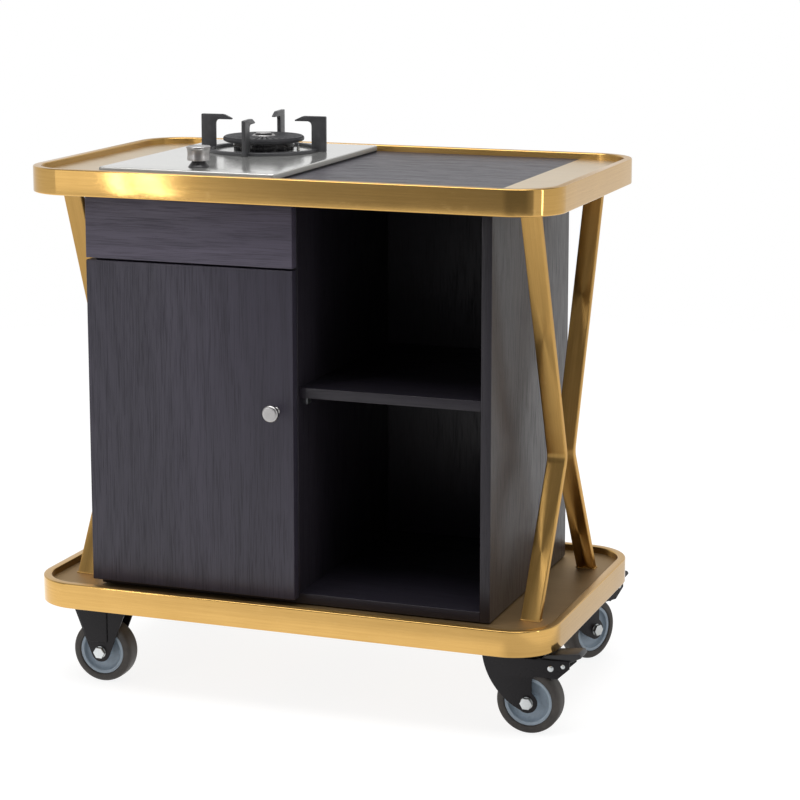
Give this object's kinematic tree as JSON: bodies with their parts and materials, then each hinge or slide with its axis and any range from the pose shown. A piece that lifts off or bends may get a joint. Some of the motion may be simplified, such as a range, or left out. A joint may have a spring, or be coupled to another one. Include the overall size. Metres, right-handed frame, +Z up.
{
  "type": "food serving cart",
  "caption": "Serving cart with rounded brass-finished tray rims, bent straps, a dark wood cabinet with door, drawer and open shelves, a built-in gas burner and casters.",
  "frame": {"origin": "on the floor under the middle of the two tray rims", "axes": "+X to the right along the front, +Y to the back, +Z up"},
  "size_m": [0.885, 0.5355, 0.883],
  "materials": {
    "black_oak": "matte",
    "black_plastic": "matte",
    "black_steel": "satin",
    "brass_band": "satin",
    "brass_sheet": "satin",
    "brushed_nickel": "satin",
    "cast_burner": "matte",
    "ceramic": "gloss",
    "drawer_birch": "matte",
    "enamel": "satin",
    "foam": "matte",
    "galvanised": "satin",
    "knob_metal": "satin",
    "stainless": "satin",
    "tyre_rubber": "matte",
    "wheel_nylon": "matte",
    "yellow_brass": "satin",
    "zinc_steel": "satin"
  },
  "bodies": {
    "cart": {"back_panel": "black_oak", "base_rails": "black_steel", "bottom_board": "black_oak", "burner_body": "cast_burner", "cabinet_glides": "black_plastic", "divider_panel": "black_oak", "gas_valve": "yellow_brass", "hinge_leaves_fixed": "zinc_steel", "hob_chassis": "galvanised", "hob_panel": "stainless", "hob_seal": "foam", "ignition_electrode": "ceramic", "knob_bezel": "black_plastic", "lower_rim": "brass_band", "lower_tray_floor": "brass_sheet", "magnetic_catch": "black_plastic", "middle_rail": "black_oak", "rigid_axles": "zinc_steel", "rigid_forks": "black_steel", "runners_fixed": "zinc_steel", "shelf_board": "black_oak", "shelf_brackets": "zinc_steel", "side_panel_left": "black_oak", "side_panel_right": "black_oak", "strap_front_left": "brass_band", "strap_front_right": "brass_band", "strap_rear_left": "brass_band", "strap_rear_right": "brass_band", "swivel_plates": "black_steel", "top_board": "black_oak", "upper_floor_left": "brass_sheet", "upper_floor_right": "brass_sheet", "upper_rim": "brass_band"},
    "drawer": {"drawer_front": "black_oak", "drawer_box": "drawer_birch", "drawer_bottom": "drawer_birch", "runners_moving": "zinc_steel"},
    "door": {"door_panel": "black_oak", "door_knob": "brushed_nickel", "hinge_leaves_door": "zinc_steel", "strike_plate": "zinc_steel"},
    "pan_support": {"pan_support": "enamel"},
    "burner_cap": {"burner_cap": "cast_burner"},
    "valve_cone": {"valve_cone": "yellow_brass"},
    "gas_knob": {"burner_knob": "knob_metal", "valve_spindle": "yellow_brass"},
    "front_right_swivel": {"swivel_fork_front_right": "black_steel", "axle_front_right": "zinc_steel"},
    "front_right_pedal": {"brake_pedal_front_right": "black_plastic"},
    "front_left_wheel": {"hub_front_left": "wheel_nylon", "tyre_front_left": "tyre_rubber"},
    "front_right_wheel": {"hub_front_right": "wheel_nylon", "tyre_front_right": "tyre_rubber"},
    "rear_right_swivel": {"swivel_fork_rear_right": "black_steel", "axle_rear_right": "zinc_steel"},
    "rear_right_pedal": {"brake_pedal_rear_right": "black_plastic"},
    "rear_left_wheel": {"hub_rear_left": "wheel_nylon", "tyre_rear_left": "tyre_rubber"},
    "rear_right_wheel": {"hub_rear_right": "wheel_nylon", "tyre_rear_right": "tyre_rubber"}
  },
  "joints": [
    {"name": "drawer_slide", "type": "slide", "parent": "cart", "child": "drawer", "axis": [0, -1, 0], "range_m": [0, 0.28]},
    {"name": "door_hinge", "type": "hinge", "parent": "cart", "child": "door", "pos_m": [-0.3232, -0.1968, 0.431], "axis": [0, 0, -1], "range_deg": [0, 100]},
    {"name": "pan_support_lift", "type": "slide", "parent": "cart", "child": "pan_support", "axis": [0, 0, 1], "range_m": [0, 0.05]},
    {"name": "burner_cap_lift", "type": "slide", "parent": "cart", "child": "burner_cap", "axis": [0, 0, 1], "range_m": [0, 0.015]},
    {"name": "knob_turn", "type": "hinge", "parent": "cart", "child": "valve_cone", "pos_m": [-0.162, -0.158, 0.8], "axis": [0, 0, 1], "range_deg": [0, 200]},
    {"name": "knob_push", "type": "slide", "parent": "valve_cone", "child": "gas_knob", "axis": [0, 0, -1], "range_m": [0, 0.003], "stiffness_N_per_m": 800, "springref_m": -0.002},
    {"name": "front_right_swivel", "type": "hinge", "parent": "cart", "child": "front_right_swivel", "pos_m": [0.344, -0.172, 0.122], "axis": [0, 0, 1], "continuous": true},
    {"name": "front_right_roll", "type": "hinge", "parent": "front_right_swivel", "child": "front_right_wheel", "pos_m": [0.377, -0.172, 0.05], "axis": [0, 1, 0], "continuous": true},
    {"name": "front_right_brake", "type": "hinge", "parent": "front_right_swivel", "child": "front_right_pedal", "pos_m": [0.413, -0.172, 0.107], "axis": [0, 1, 0], "range_deg": [0, 14]},
    {"name": "front_left_roll", "type": "hinge", "parent": "cart", "child": "front_left_wheel", "pos_m": [-0.33, -0.172, 0.05], "axis": [0, 1, 0], "continuous": true},
    {"name": "rear_right_swivel", "type": "hinge", "parent": "cart", "child": "rear_right_swivel", "pos_m": [0.344, 0.172, 0.122], "axis": [0, 0, 1], "continuous": true},
    {"name": "rear_right_roll", "type": "hinge", "parent": "rear_right_swivel", "child": "rear_right_wheel", "pos_m": [0.35867, 0.20156, 0.05], "axis": [-0.8957, 0.4446, 0], "continuous": true},
    {"name": "rear_right_brake", "type": "hinge", "parent": "rear_right_swivel", "child": "rear_right_pedal", "pos_m": [0.37468, 0.2338, 0.107], "axis": [-0.8957, 0.4446, 0], "range_deg": [0, 14]},
    {"name": "rear_left_roll", "type": "hinge", "parent": "cart", "child": "rear_left_wheel", "pos_m": [-0.33, 0.172, 0.05], "axis": [0, 1, 0], "continuous": true}
  ]
}
